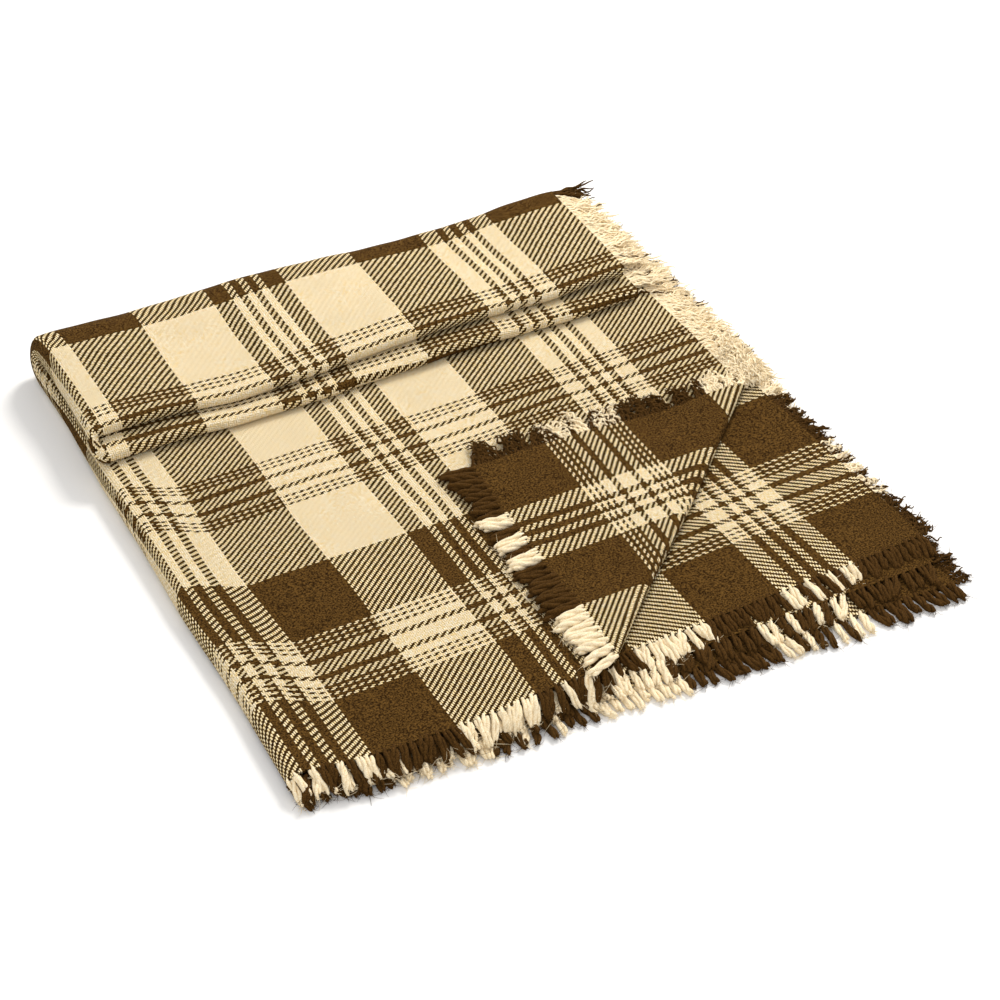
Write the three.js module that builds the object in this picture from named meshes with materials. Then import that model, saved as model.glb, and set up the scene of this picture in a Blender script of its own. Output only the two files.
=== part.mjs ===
// A wool camp blanket, folded for storage: a plaid cloth about 1.28 x 1.9 m with
// thick twisted tassels on its two warp ends and a fine wavy fringe on its two sides.
//
// How it is folded, from the flat cloth:
//   1. in half lengthwise, so both tasselled ends lie at the front
//   2. in half crosswise, at the left edge, which gives a stack of four plies
//   3. the rear end of the stack is turned forward on top of it, as a leaf
//   4. the front right corner of the top ply is turned back, as a small flap
//
// Millimetres, +Z up. The cloth frame below has x across the stack (0 near its left
// fold), y toward the rear (negative toward the front) and z from the ground.
// The whole is then moved so that the origin is the centre of the underside.

import * as THREE from "three";

// ---- driving dimensions -------------------------------------------------------------
const PLY = 6; // one ply with the air beside it
const AIR = 0.2; // half of the air between two plies
const GAP = 0.15; // half of the gap where two nodes of one cloth meet

const BACK_Y = -269; // centre line of the rear bend
const BACK_Z = 24; // its height, between the stack and the leaf
const FRONT_Y = -933; // front edge of the top ply
const LEFT_BACK_X = 8; // left fold, centre line at the rear
const LEFT_FRONT_X = -16; // and at the front: the fold drifts outward

// right edge at the rear and at the front, and the front edge at the right, of each ply
const PLY_A = { backX: 594, frontX: 594, frontRightY: -933 };
const PLY_B = { backX: 596, frontX: 621, frontRightY: -902 };
const PLY_C = { backX: 600, frontX: 612, frontRightY: -934 };
const PLY_D = { backX: 602, frontX: 616, frontRightY: -963 };

const CREASE_RIGHT = [594, -631]; // the corner crease, on the right edge
const CREASE_FRONT = [292, -933]; // and on the front edge

const LEAF_LEFT_BACK_X = 12; // left fold of the leaf
const LEAF_LEFT_FRONT_X = 2;
const LEAF_RIGHT_X = 578;
const RIDGE_UPPER_Y = -419; // the leaf's front end is two rolls, one over the other
const RIDGE_LOWER_Y = -444;

const TASSEL_LONG = 27; // thick tassels of the warp ends
const TASSEL_PITCH = 7.85;
const TASSEL_WIDE = 5.4;
const FRINGE_LONG = 40; // fine fringe of the side edges
const FRINGE_PITCH = 27;
const FRINGE_WIDE = 16;
const STRIP = 2.5; // knotted edge that carries the tassels

const ORIGIN = new THREE.Vector3(-316.1585, 616.6998, 0); // moves the underside's centre to 0

// ---- colours ------------------------------------------------------------------------
const BROWN = 0x4d3324;
const CREAM = 0xd9cdb8;
const MIXED = 0x8f7a66;
const cloth = (color) =>
  new THREE.MeshStandardMaterial({ color, roughness: 0.95, metalness: 0 });

const blanket = new THREE.Group();
blanket.position.copy(ORIGIN);

function add(name, geometry, color) {
  const mesh = new THREE.Mesh(geometry, cloth(color));
  mesh.name = name;
  blanket.add(mesh);
  return mesh;
}

// ---- geometry helpers ---------------------------------------------------------------

// A closed solid from matching outlines, one after another; the end outlines are capped.
// flat is the outline in its own plane, counterclockwise, and rings are its copies in
// space, stepping along the normal of that plane.
function loft(flat, rings) {
  const n = flat.length;
  const position = [];
  const index = [];
  for (const ring of rings) for (const p of ring) position.push(p[0], p[1], p[2]);
  for (let k = 0; k + 1 < rings.length; k++)
    for (let i = 0; i < n; i++) {
      const j = (i + 1) % n;
      const a = k * n + i;
      const b = k * n + j;
      index.push(a, b, b + n, a, b + n, a + n);
    }
  const cap = THREE.ShapeUtils.triangulateShape(
    flat.map((p) => new THREE.Vector2(p[0], p[1])),
    [],
  );
  const last = (rings.length - 1) * n;
  for (const [a, b, c] of cap) {
    index.push(a, c, b);
    index.push(last + a, last + b, last + c);
  }
  const geometry = new THREE.BufferGeometry();
  geometry.setAttribute(
    "position",
    new THREE.BufferAttribute(new Float32Array(position), 3),
  );
  geometry.setIndex(index);
  const solid = geometry.toNonIndexed();
  solid.computeVertexNormals();
  return solid;
}

function counterclockwise(flat) {
  return THREE.ShapeUtils.area(flat.map((p) => new THREE.Vector2(p[0], p[1]))) > 0
    ? flat
    : flat.slice().reverse();
}

// A slab with an outline seen from above, from height z0 to z1.
function slab(outline, z0, z1) {
  const flat = counterclockwise(outline);
  return loft(flat, [
    flat.map(([x, y]) => [x, y, z0]),
    flat.map(([x, y]) => [x, y, z1]),
  ]);
}

// A section seen from the front (x, z), carried from the rear toward the front.
// xAt(y) is where the section's own x = 0 lies.
function alongY(section, yRear, yFront, xAt) {
  const flat = counterclockwise(section);
  // (x, z) seen from the front has its normal toward -Y
  return loft(flat, [
    flat.map(([x, z]) => [xAt(yRear) + x, yRear, z]),
    flat.map(([x, z]) => [xAt(yFront) + x, yFront, z]),
  ]);
}

// A section seen from the right (y, z), carried from x0 to x1.
function alongX(section, x0, x1) {
  const flat = counterclockwise(section);
  return loft(flat, [
    flat.map(([y, z]) => [x0, y, z]),
    flat.map(([y, z]) => [x1, y, z]),
  ]);
}

// Half of a ring, or of a disc when inner is 0, about (cu, cv); it starts at angle from
// and turns by half a circle. squash narrows it across its own diameter.
function halfRing(cu, cv, inner, outer, from, steps = 12, squash = 1) {
  const points = [];
  for (let i = 0; i <= steps; i++) {
    const a = from + (Math.PI * i) / steps;
    points.push([cu + squash * outer * Math.cos(a), cv + outer * Math.sin(a)]);
  }
  if (inner > 0)
    for (let i = steps; i >= 0; i--) {
      const a = from + (Math.PI * i) / steps;
      points.push([cu + squash * inner * Math.cos(a), cv + inner * Math.sin(a)]);
    }
  return points;
}

const LEFTWARD = Math.PI / 2; // from straight up round to straight down, by -x or -y
const REARWARD = -Math.PI / 2; // from straight down round to straight up, by +y

// A comb seen from above: a strip along the edge from p to q, with evenly spaced
// tassels that point along out.
function comb(p, q, out, { long, pitch, wide, first = 0.5 }) {
  const along = [q[0] - p[0], q[1] - p[1]];
  const length = Math.hypot(...along);
  const u = [along[0] / length, along[1] / length];
  const at = (s, t) => [p[0] + u[0] * s + out[0] * t, p[1] + u[1] * s + out[1] * t];
  const count = Math.floor(length / pitch);
  const step = length / count;
  const outline = [at(0, 0)];
  outline.push(at(0, STRIP));
  for (let i = 0; i < count; i++) {
    const s = step * (i + first);
    const tip = long * (0.96 + 0.04 * Math.sin(2.4 * i));
    const root = STRIP + 0.3 * Math.sin(2.1 * i); // the knots aren't in a perfect line
    const root2 = STRIP + 0.3 * Math.cos(1.3 * i);
    outline.push(at(s - wide / 2, root), at(s - wide * 0.36, tip));
    outline.push(at(s + wide * 0.36, tip), at(s + wide / 2, root2));
  }
  outline.push(at(length, STRIP), at(length, 0));
  return outline;
}

const thick = { long: TASSEL_LONG, pitch: 2 * TASSEL_PITCH, wide: 2 * TASSEL_WIDE };
const fine = { long: FRINGE_LONG, pitch: FRINGE_PITCH, wide: FRINGE_WIDE };

// height of a ply's underside and top, counted from the ground; 0 is ply D
const under = (k) => (k === 0 ? 0 : PLY * k + AIR);
const top = (k) => PLY * (k + 1) - AIR;

const leftX = (y) =>
  LEFT_BACK_X + ((BACK_Y - y) / (BACK_Y - FRONT_Y)) * (LEFT_FRONT_X - LEFT_BACK_X);
const leafLeftX = (y) =>
  LEAF_LEFT_BACK_X +
  ((BACK_Y - y) / (BACK_Y - RIDGE_LOWER_Y)) * (LEAF_LEFT_FRONT_X - LEAF_LEFT_BACK_X);
const unit = (x, y) => [x / Math.hypot(x, y), y / Math.hypot(x, y)];

// ---- the stack: four plies ----------------------------------------------------------
const rear = BACK_Y - GAP;
const inner = PLY - AIR; // radius of the innermost roll

// ply D, face down on the ground, and ply C on it
function fullPly(name, k, ply, color) {
  const outline = [
    [leftX(rear) + GAP, rear],
    [ply.backX, rear],
    [ply.frontX, ply.frontRightY],
    [leftX(FRONT_Y) + GAP, FRONT_Y],
  ];
  add(name, slab(outline, under(k), top(k)), color);
}
fullPly("ply_d_main", 0, PLY_D, MIXED);
fullPly("ply_c_main", 1, PLY_C, MIXED);
fullPly("ply_b_main", 2, PLY_B, MIXED);

// ply A, face up, without its front right corner
const cut = (GAP * Math.SQRT2) / 2; // the crease keeps its gap square to itself
add(
  "ply_a_main",
  slab(
    [
      [leftX(rear) + GAP, rear],
      [PLY_A.backX, rear],
      [CREASE_RIGHT[0], CREASE_RIGHT[1] + 2 * cut],
      [CREASE_FRONT[0] - 2 * cut, CREASE_FRONT[1]],
      [leftX(FRONT_Y) + GAP, FRONT_Y],
    ],
    under(3),
    top(3),
  ),
  MIXED,
);

// the left fold: A turns down into D round the outside, B into C round the inside
add(
  "left_fold_outer",
  alongY(
    halfRing(-GAP, 2 * PLY, PLY + AIR, 2 * PLY - AIR, LEFTWARD),
    rear,
    FRONT_Y,
    leftX,
  ),
  MIXED,
);
add(
  "left_fold_inner",
  alongY(halfRing(-GAP, 2 * PLY, 0, inner, LEFTWARD), rear, FRONT_Y, leftX),
  MIXED,
);

// ---- the turned corner --------------------------------------------------------------
// the corner of A mirrored in its crease, lying reverse side up on A
const corner = [CREASE_FRONT[0], CREASE_RIGHT[1]];
add(
  "corner_flap",
  slab(
    [
      [CREASE_RIGHT[0] - 4 * cut, CREASE_RIGHT[1]],
      [corner[0], corner[1]],
      [CREASE_FRONT[0], CREASE_FRONT[1] + 4 * cut],
    ],
    PLY * 4 + AIR,
    PLY * 5 - AIR,
  ),
  MIXED,
);

// the roll of the crease: half a disc that runs along the crease on its outer side
{
  const a = new THREE.Vector3(...CREASE_RIGHT, BACK_Z);
  const b = new THREE.Vector3(...CREASE_FRONT, BACK_Z);
  const outward = new THREE.Vector3(1, -1, 0).normalize();
  const section = halfRing(0, 0, 0, inner, REARWARD);
  const flat = counterclockwise(section);
  const ring = (end) =>
    flat.map(([u, v]) => {
      const p = end.clone().addScaledVector(outward, GAP + u);
      return [p.x, p.y, p.z + v];
    });
  // outward x up points along the crease from its front end to its right end
  const along = outward.clone().cross(new THREE.Vector3(0, 0, 1));
  const forward = along.dot(b.clone().sub(a)) > 0;
  add(
    "crease_roll",
    loft(flat, forward ? [ring(a), ring(b)] : [ring(b), ring(a)]),
    MIXED,
  );
}

// ---- the rear bend ------------------------------------------------------------------
// each ply wraps round the one above it and comes back as a ply of the leaf
const bend = (k) => ({
  inner: k === 3 ? 0 : PLY * (3 - k) + AIR,
  outer: PLY * (4 - k) - AIR,
});
[
  ["back_fold_a", 3, 586],
  ["back_fold_b", 2, 588],
  ["back_fold_c", 1, 590],
  ["back_fold_d", 0, 592],
].forEach(([name, k, rightX]) => {
  const r = bend(k);
  add(
    name,
    alongX(
      halfRing(BACK_Y + GAP, BACK_Z, r.inner, r.outer, REARWARD, 12),
      LEFT_BACK_X + 2 + GAP,
      rightX,
    ),
    MIXED,
  );
});

// the left fold turned round the rear bend: a half ring carried through half a circle
{
  const sweep = (name, section, color) => {
    // section is (x, distance below the bend's axis)
    const flat = counterclockwise(section);
    const steps = 12;
    const rings = [];
    for (let i = 0; i <= steps; i++) {
      const a = (Math.PI * i) / steps;
      rings.push(
        flat.map(([x, r]) => [
          LEFT_BACK_X + 2 - GAP + x,
          BACK_Y + GAP + r * Math.sin(a),
          BACK_Z - r * Math.cos(a),
        ]),
      );
    }
    add(name, loft(flat, rings), color);
  };
  sweep(
    "back_left_corner_outer",
    halfRing(0, 2 * PLY, PLY + AIR, 2 * PLY - AIR, LEFTWARD),
    MIXED,
  );
  sweep(
    "back_left_corner_inner",
    halfRing(0, 2 * PLY, 0, inner, LEFTWARD),
    MIXED,
  );
}

// ---- the leaf -----------------------------------------------------------------------
// from below: A', B', C', D', the last with the face of the cloth up
const leafTop = 4 * PLY;
function leafPly(name, k, frontY, color) {
  add(
    name,
    slab(
      [
        [leafLeftX(rear) + GAP, rear],
        [LEAF_RIGHT_X, rear],
        [LEAF_RIGHT_X - 1, frontY],
        [leafLeftX(frontY) + GAP, frontY],
      ],
      leafTop + PLY * k + AIR,
      leafTop + PLY * (k + 1) - (k === 3 ? 0 : AIR),
    ),
    color,
  );
}
leafPly("leaf_ply_a", 0, RIDGE_LOWER_Y + GAP, MIXED);
leafPly("leaf_ply_b", 1, RIDGE_LOWER_Y + GAP, MIXED);
leafPly("leaf_ply_c", 2, RIDGE_UPPER_Y + GAP, MIXED);
leafPly("leaf_ply_d", 3, RIDGE_UPPER_Y + GAP, MIXED);

add(
  "leaf_left_fold_outer",
  alongY(
    halfRing(-GAP, leafTop + 2 * PLY, PLY + AIR, 2 * PLY - AIR, LEFTWARD),
    rear,
    RIDGE_UPPER_Y + GAP,
    leafLeftX,
  ),
  MIXED,
);
add(
  "leaf_left_fold_inner",
  alongY(
    halfRing(-GAP, leafTop + 2 * PLY, 0, inner, LEFTWARD),
    rear,
    RIDGE_UPPER_Y + GAP,
    leafLeftX,
  ),
  MIXED,
);

// the lengthwise fold shows as the leaf's front end: C' and D' meet in the upper roll,
// A' and B' in the lower one, which reaches further forward
add(
  "ridge_upper_roll",
  alongX(
    halfRing(RIDGE_UPPER_Y - GAP, leafTop + 3 * PLY, 0, inner, LEFTWARD),
    leafLeftX(RIDGE_UPPER_Y) + GAP,
    LEAF_RIGHT_X - 1,
  ),
  MIXED,
);
add(
  "ridge_lower_roll",
  alongX(
    halfRing(RIDGE_LOWER_Y - GAP, leafTop + PLY, 0, inner, LEFTWARD),
    leafLeftX(RIDGE_LOWER_Y) + GAP,
    LEAF_RIGHT_X - 1,
  ),
  MIXED,
);

// ---- fringes ------------------------------------------------------------------------
// the warp ends: thick tassels along the front
const thin = 0.5; // a fringe is a little thinner than its ply
function frontFringe(name, k, p, q, color) {
  const out = unit(q[1] - p[1], p[0] - q[0]); // square to the edge, toward the front
  add(
    name,
    slab(comb(p, q, out, thick), under(k) + (k === 0 ? 0 : thin), top(k) - thin),
    color,
  );
}
const step = 2 * GAP;
frontFringe(
  "front_fringe_a",
  3,
  [leftX(FRONT_Y) + 1, FRONT_Y - step],
  [CREASE_FRONT[0] - 12, FRONT_Y - step],
  CREAM,
);
for (const [name, k, ply] of [
  ["front_fringe_b", 2, PLY_B],
  ["front_fringe_c", 1, PLY_C],
  ["front_fringe_d", 0, PLY_D],
])
  frontFringe(
    name,
    k,
    [leftX(FRONT_Y) + 1, FRONT_Y - step],
    [ply.frontX - 1, ply.frontRightY - step],
    CREAM,
  );

// the sides of the cloth: fine fringe along the right
function sideFringe(name, k, p, q, color, base = 0) {
  const out = unit(p[1] - q[1], q[0] - p[0]); // square to the edge, toward the right
  add(
    name,
    slab(
      comb(p, q, out, fine),
      base + under(k) + (k === 0 && base === 0 ? 0 : thin),
      base + top(k) - thin,
    ),
    color,
  );
}
sideFringe(
  "side_fringe_a",
  3,
  [PLY_A.backX + step, rear - 2],
  [CREASE_RIGHT[0] + step, CREASE_RIGHT[1] + 12],
  CREAM,
);
for (const [name, k, ply] of [
  ["side_fringe_b", 2, PLY_B],
  ["side_fringe_c", 1, PLY_C],
  ["side_fringe_d", 0, PLY_D],
])
  sideFringe(
    name,
    k,
    [ply.backX + step, rear - 2],
    [ply.frontX + step, ply.frontRightY + 2],
    CREAM,
  );
sideFringe(
  "leaf_side_fringe_a",
  0,
  [LEAF_RIGHT_X + step, rear - 2],
  [LEAF_RIGHT_X - 1 + step, RIDGE_LOWER_Y + 2],
  CREAM,
  leafTop,
);
sideFringe(
  "leaf_side_fringe_b",
  1,
  [LEAF_RIGHT_X + step, rear - 2],
  [LEAF_RIGHT_X - 1 + step, RIDGE_LOWER_Y + 2],
  CREAM,
  leafTop,
);
sideFringe(
  "leaf_side_fringe_c",
  2,
  [LEAF_RIGHT_X + step, rear - 2],
  [LEAF_RIGHT_X - 1 + step, RIDGE_UPPER_Y + 2],
  CREAM,
  leafTop,
);
sideFringe(
  "leaf_side_fringe_d",
  3,
  [LEAF_RIGHT_X + step, rear - 2],
  [LEAF_RIGHT_X - 1 + step, RIDGE_UPPER_Y + 2],
  CREAM,
  leafTop,
);

// the flap carries both kinds: tassels toward the left, fine fringe toward the rear
add(
  "flap_front_fringe",
  slab(
    comb(
      [corner[0] - step, corner[1] - 1],
      [corner[0] - step, CREASE_FRONT[1] + 12],
      [-1, 0],
      thick,
    ),
    leafTop + AIR + thin,
    leafTop + PLY - AIR - thin,
  ),
  CREAM,
);
add(
  "flap_side_fringe",
  slab(
    comb(
      [corner[0] + 1, corner[1] + step],
      [CREASE_RIGHT[0] - 12, CREASE_RIGHT[1] + step],
      [0, 1],
      fine,
    ),
    leafTop + AIR + thin,
    leafTop + PLY - AIR - thin,
  ),
  CREAM,
);

// the fine fringe where the outer ply goes round the rear bend: locks of yarn that
// fan out from the right end of the bend
{
  const r0 = 18.6;
  const r1 = 23.4;
  const x0 = 592 + step;
  const a0 = -0.42 * Math.PI;
  const a1 = 0.42 * Math.PI;
  const locks = 6;
  // unrolled outline: (angle, x), the strip and its locks
  const outline = [
    [a0, 0],
    [a1, 0],
    [a1, STRIP],
  ];
  for (let i = locks - 1; i >= 0; i--) {
    const c = a0 + ((i + 0.5) / locks) * (a1 - a0);
    outline.push([c + 0.15, STRIP], [c + 0.11, 32], [c - 0.11, 32], [c - 0.15, STRIP]);
  }
  outline.push([a0, STRIP]);
  const flat = counterclockwise(outline);
  const ring = (r) =>
    flat.map(([a, x]) => [x0 + x, BACK_Y + GAP + r * Math.cos(a), BACK_Z + r * Math.sin(a)]);
  add("back_fold_fringe", loft(flat, [ring(r0), ring(r1)]), CREAM);
}

export default blanket;
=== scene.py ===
import math

import bpy
import numpy as np
from mathutils import Matrix, Vector


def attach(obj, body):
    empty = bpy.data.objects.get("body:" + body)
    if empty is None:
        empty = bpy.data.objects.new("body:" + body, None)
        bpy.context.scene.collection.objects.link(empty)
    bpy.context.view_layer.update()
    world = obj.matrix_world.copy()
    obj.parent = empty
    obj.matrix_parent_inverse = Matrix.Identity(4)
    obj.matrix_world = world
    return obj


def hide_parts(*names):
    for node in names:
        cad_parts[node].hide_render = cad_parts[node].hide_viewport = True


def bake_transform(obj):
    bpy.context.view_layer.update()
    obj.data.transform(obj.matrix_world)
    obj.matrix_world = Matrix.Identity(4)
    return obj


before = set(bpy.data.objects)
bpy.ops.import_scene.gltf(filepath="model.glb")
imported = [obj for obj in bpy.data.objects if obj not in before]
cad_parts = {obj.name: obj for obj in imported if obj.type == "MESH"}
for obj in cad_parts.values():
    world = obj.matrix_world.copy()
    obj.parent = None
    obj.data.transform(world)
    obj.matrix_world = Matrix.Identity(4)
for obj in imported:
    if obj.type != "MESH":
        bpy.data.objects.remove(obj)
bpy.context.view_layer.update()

OX, OY = -316.1585, 616.6998  # cloth frame to row frame


def row(p):
    return (np.asarray(p, float) + np.array([OX, OY, 0.0])) / 1000.0


# ------------------------------------------------------------------------------ folds
HALF = 2.25  # half the cloth's thickness
ZM, RP, RQ = 11.9, 9.3, 3.1  # middle of the stack, and the outer and inner left rolls
YB, ZH = -269.0, 24.0  # the rear bend
YF = -933.0  # front edge at the left
END, PICK = 1.963, 1.63  # yarn pitches

# cross positions at the front (0), at the rear (1), where the leaf begins (2) and at
# the leaf's front end (3)
KNOTS = np.array([0.0, 1.0, 2.0, 3.0])
XC = [-16.0, 8.0, 12.0, 2.0]
X_A = [594.0, 594.0, 577.0, 574.0]
X_D = [616.0, 602.0, 580.0, 578.0]
X_B = [621.0, 596.0, 580.0, 579.0]
X_C = [612.0, 600.0, 578.0, 572.0]
# yarn counts at the right edge of the upper ply, at both ends of the roll and at the
# right edge of the lower ply
U_P = [[299.2, 299.2, 300, 300], [-11.6, 0.7, 3.9, 9.0], [-27.9, -15.6, -12.4, -7.3], [-300] * 4]
U_Q = [[300, 300, 300, 300], [-25.3, -0.4, 5.0, 9.0], [-31.0, -6.0, -8.0, -7.3], [-300] * 4]

A_Y = [-933, -854, -770, -678, -586.7, -513.6, -422, -334, -269]
A_V = [0, 48, 102, 156, 212, 262, 318, 372, 412]
D2_Y = [-419, -386.4, -285.5, -269]
D2_V = [553.2, 533.6, 480, 470.3]


# the corner of the upper ply, turned back over its crease
CN = np.array([math.cos(math.radians(46.3)), -math.sin(math.radians(46.3))])  # across it
CREASE = 862.2  # where the roll starts, along CN
RC = 5.0  # radius of its roll
RIDGE = 160.0  # where the turned corner's first ridge lies, along the crease


def smooth(t):
    t = np.clip(t, 0, 1)
    return t * t * (3 - 2 * t)


def mix(a, b, t):
    return a + (b - a) * t


def waves(seed, count=7):
    r = np.random.default_rng(seed)
    angle = r.uniform(0, 2 * np.pi, count)
    scale = r.uniform(0.6, 1.6, count)
    return (
        np.cos(angle) * scale,
        np.sin(angle) * scale,
        r.uniform(-0.5, 0.5, count),
        r.uniform(0, 2 * np.pi, count),
        1 / count**0.5,
    )


def noise(w, x, y, z=0.0):
    kx, ky, kz, ph, s = w
    out = 0.0
    for i in range(len(kx)):
        out = out + np.sin(2 * np.pi * (kx[i] * x + ky[i] * y + kz[i] * z) + ph[i])
    return out * s


W1, W2, W3, W4, W5, W6 = (waves(s) for s in (11, 12, 13, 14, 15, 16))


def settle(p):
    """The cloth's soft unevenness, as a smooth warp of the space it lies in."""
    x, y, z = p[:, 0], p[:, 1], p[:, 2]
    # level along the crease of the turned corner, so that it can turn about one line
    crease = np.abs(x * CN[0] + y * CN[1] - CREASE - 4)
    calm = 1 - 0.9 * smooth(1.6 - crease / 26)
    high = np.clip(z / 24.0, 0, 1.5) * calm
    dz = high * (1.0 * noise(W1, x / 260, y / 260) + 0.35 * noise(W2, x / 70, y / 70, z / 60))
    dx = 1.3 * noise(W3, x / 300, y / 300, z / 90)
    dy = 1.6 * noise(W4, x / 280, y / 280, z / 90)
    left = 1 - 0.12 * smooth((70 - x) / 90) * smooth((-520 - y) / 180)
    # the rear left of the fold stands proud and a little further back
    rear = smooth((430 - x) / 330)
    left = left + 0.13 * rear * smooth((y + 350) / 70) * smooth((z - 18) / 22)
    left = left + 0.07 * smooth((120 - x) / 130) * smooth((y + 470) / 120) * smooth((z - 20) / 20)
    dy = dy * (1 - 0.8 * smooth((y + 360) / 80)) + 0.5 * rear * np.clip(y - YB, 0, 40)
    front = 1 - 0.08 * smooth((-860 - y) / 80) * (1 - smooth(1.8 - crease / 40))
    out = np.stack([x + dx, y + dy, (z + dz) * left * front], 1)
    out[:, 2] = np.where(z <= 0, z, np.maximum(out[:, 2], 0.12 * z))
    return out


def across(a, k, x_top, x_bottom, radius):
    """A point of the folded section: a from 1 (right edge, upper ply) over 0 and -1
    (the two ends of the left roll) to -2 (right edge, lower ply)."""
    xc = np.interp(k, KNOTS, XC)
    xt = np.interp(k, KNOTS, x_top)
    xb = np.interp(k, KNOTS, x_bottom)
    phi = np.clip(-a, 0, 1) * np.pi
    x = np.where(
        a >= 0,
        xc + a * (xt - xc),
        np.where(a <= -1, xc + (-1 - a) * (xb - xc), xc - radius * np.sin(phi)),
    )
    z = ZM + radius * np.cos(phi)
    return x, z


def front_y(a, outer):
    """Front edge of each ply, by its place across."""
    right_top = -933.0 if outer else -902.0
    right_bottom = -963.0 if outer else -934.0
    y = np.where(a >= 0, mix(YF, right_top, np.clip(a, 0, 1)), YF)
    return np.where(a <= -1, mix(YF, right_bottom, np.clip(-1 - a, 0, 1)), y)


def leaf_y(a):
    """Where the leaf ends: the lower roll reaches further forward than the upper."""
    low = -444.0 - 2.0 * np.clip(a, 0, 1)
    return mix(low, -419.0, smooth(-a))


def half(a, v, outer):
    x, z = across(
        a, v, X_A if outer else X_B, X_D if outer else X_C, RP if outer else RQ
    )
    yf = front_y(a, outer)
    back = 12 * smooth((50 - x) / 66) * (v < 1.0) * (1 - np.clip(v, 0, 1))
    y_main = mix(yf, YB, np.clip(v, 0, 1)) + back
    rho = ZH - z
    theta = np.clip(v - 1, 0, 1) * np.pi
    y_leaf = mix(YB, leaf_y(a), np.clip(v - 2, 0, 1))
    y = np.where(v <= 1, y_main, np.where(v <= 2, YB + rho * np.sin(theta), y_leaf))
    zz = ZH - rho * np.cos(theta)
    return np.stack([x, y, zz], 1)


def cloth(a, t):
    """Place of the cloth's middle surface. t: 0-1 stack, 1-2 bend, 2-3 leaf of the
    outer layer; 3-4 the lengthwise fold; 4-5 leaf, 5-6 bend, 6-7 stack of the inner."""
    a = np.asarray(a, float)
    t = np.asarray(t, float)
    out = np.zeros((len(a), 3))
    m = t <= 3
    if m.any():
        out[m] = half(a[m], t[m], True)
    m = t >= 4
    if m.any():
        out[m] = half(a[m], 7 - t[m], False)
    m = (t > 3) & (t < 4)
    if m.any():
        three = np.full(m.sum(), 3.0)
        p, q = half(a[m], three, True), half(a[m], three, False)
        psi = (t[m] - 3)[:, None] * np.pi
        lump = 1 + 0.18 * noise(W5, p[:, :1] / 120, 0 * p[:, :1])
        out[m] = (
            (p + q) / 2
            + (p - q) / 2 * np.cos(psi) * (1 + 0.30 * np.sin(psi))
            + np.array([[0.0, -1.0, 0.0]]) * 4.4 * lump * np.sin(psi)
        )
    return out


def yarn_u(a, t):
    k = np.where(t <= 3, t, 7 - t)
    k = np.where((t > 3) & (t < 4), 3, k)

    def of(table):
        r, u0, u1, b = (np.interp(k, KNOTS, row_) for row_ in table)
        return np.where(
            a >= 0,
            mix(u0, r, np.clip(a, 0, 1)),
            np.where(a <= -1, mix(u1, b, np.clip(-1 - a, 0, 1)), mix(u0, u1, np.clip(-a, 0, 1))),
        )

    w = np.clip(t - 3, 0, 1)
    return mix(of(U_P), of(U_Q), w)


def yarn_v(a, t):
    k = np.where(t <= 3, t, 7 - t)
    k = np.where((t > 3) & (t < 4), 3.0, k)
    lower = smooth(-a)  # 0 on the upper ply, 1 on the lower
    outer = half(a, k, True)
    inner = half(a, k, False)
    x, y = outer[:, 0], outer[:, 1]
    pull = 23 * smooth((55 - x) / 60) * (k < 1)
    flat_y = mix(front_y(a, True), YB, np.clip(k, 0, 1))
    va = np.interp(flat_y - pull * np.clip(k * 6, 0, 1), A_Y, A_V)
    vd = np.clip(k, 0, 1) * 430
    main_p = mix(va, vd, lower)
    bend = np.clip(k - 1, 0, 1)
    bend_p = mix(mix(412, 418, bend), mix(430, 470.3, bend), lower)
    vc = mix(557, 577, np.clip(x / 577, 0, 1))
    leaf = np.clip(k - 2, 0, 1)
    leaf_p = mix(mix(418, vc - 5, leaf), np.interp(y, D2_Y, D2_V), lower)
    p = np.where(k <= 1, main_p, np.where(k <= 2, bend_p, leaf_p))
    # the inner layer, counted on from the lengthwise fold
    start = mix(vc + 5, 566, lower)
    leaf_q = start + (inner[:, 1] - leaf_y(a)) / PICK
    begin = start + (YB - leaf_y(a)) / PICK
    front = 1122 - (YB - front_y(a, False)) / PICK
    bend_q = mix(front, begin, bend)
    main_q = 1122 - (inner[:, 1] - front_y(a, False)) / PICK
    q = np.where(k <= 1, main_q, np.where(k <= 2, bend_q, leaf_q))
    w = np.clip(t - 3, 0, 1)
    return mix(p, q, w)


def past_crease(p):
    return p[:, 0] * CN[0] + p[:, 1] * CN[1] - CREASE


def turned(p):
    out = p.copy()
    d = past_crease(p)
    arc = np.pi * RC
    phi = np.clip(d / RC, 0, np.pi)
    off = np.where(d < arc, RC * np.sin(phi), -(d - arc))
    lift = np.where(
        d < arc, RC * (1 - np.cos(phi)), 2 * RC - (2 * RC - 5.6) * smooth((d - arc) / 60)
    )
    # two soft ridges run across the turned corner
    along = p[:, 0] * CN[1] - p[:, 1] * CN[0]
    free = smooth((d - arc - 12) / 40) * smooth((150 - (d - arc)) / 60)
    ridge = np.exp(-(((along - RIDGE) / 42) ** 2)) + np.exp(-(((along - RIDGE - 225) / 32) ** 2))
    lift = lift + 3.6 * free * ridge
    m = d > 0
    out[m, 0] = p[m, 0] + (off[m] - d[m]) * CN[0]
    out[m, 1] = p[m, 1] + (off[m] - d[m]) * CN[1]
    out[m, 2] = p[m, 2] + lift[m]
    return out


def place(a, t, flap=False):
    p = cloth(a, t)
    if flap:
        p = turned(p)
    return settle(p)


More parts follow.
